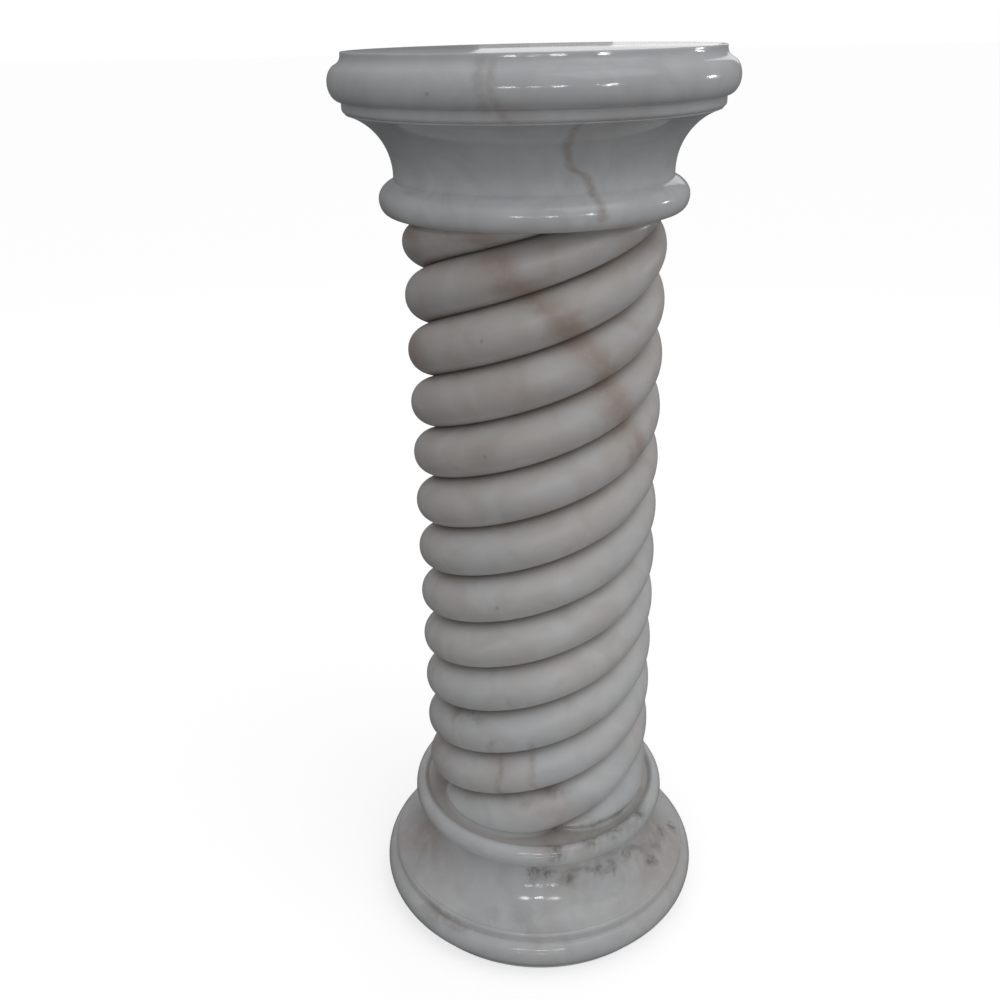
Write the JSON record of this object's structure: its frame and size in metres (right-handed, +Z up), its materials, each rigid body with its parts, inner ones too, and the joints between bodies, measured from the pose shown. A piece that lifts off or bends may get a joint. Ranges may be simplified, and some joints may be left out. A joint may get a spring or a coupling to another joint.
{
  "type": "twisted marble column",
  "caption": "Round marble pedestal column with a rope-twisted shaft between matching turned capital and base mouldings; stands on the floor and carries a vase, bust or plant.",
  "frame": {"origin": "centre of the round underside, on the floor", "axes": "+Z up along the column's axis, -Y towards the side seen in the picture"},
  "size_m": [0.395, 0.395, 1],
  "materials": {
    "marble": "polished white-grey marble with pale brown veins"
  },
  "bodies": {
    "root": {"twisted_column": "marble"}
  },
  "joints": []
}
